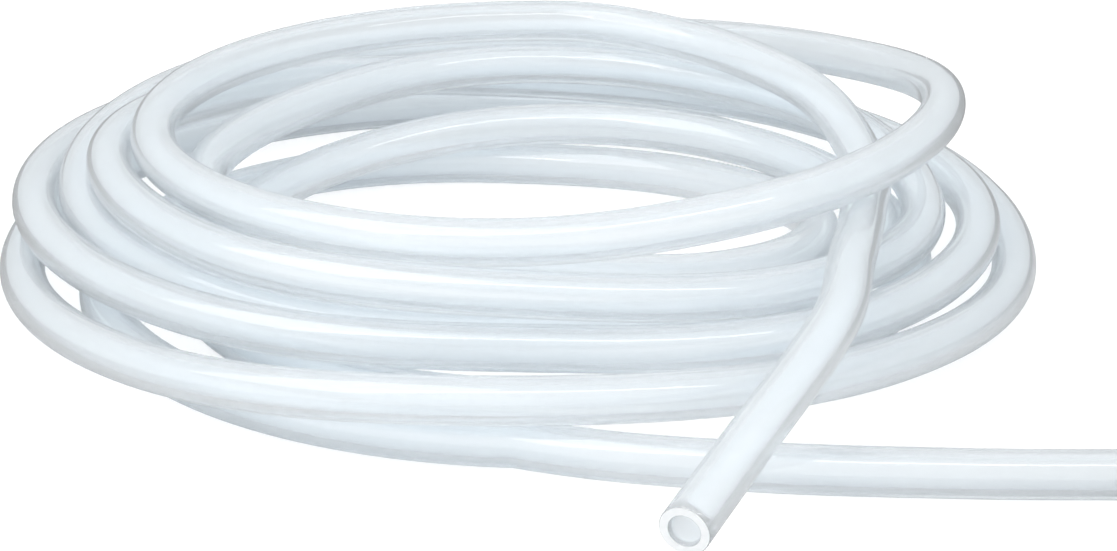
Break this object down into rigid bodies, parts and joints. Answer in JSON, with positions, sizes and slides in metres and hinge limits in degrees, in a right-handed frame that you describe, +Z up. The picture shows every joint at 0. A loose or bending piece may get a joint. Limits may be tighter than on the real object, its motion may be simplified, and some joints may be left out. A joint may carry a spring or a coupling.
{
  "type": "silicone tubing coil",
  "caption": "Translucent silicone tube lying in a loose flat coil, with one cut end run out over the turns and the other led away along the surface.",
  "frame": {"origin": "under the middle of the whole part's box, on the surface the coil lies on", "axes": "+Z up off the surface, -Y towards the near cut end, +X towards the far tail's cut end"},
  "size_m": [0.211, 0.2505, 0.0375],
  "materials": {
    "silicone": "milky, faintly blue translucent silicone rubber with a smooth, softly shining extruded surface and matt square-cut ends"
  },
  "bodies": {
    "root": {"tubing": "silicone"}
  },
  "joints": []
}
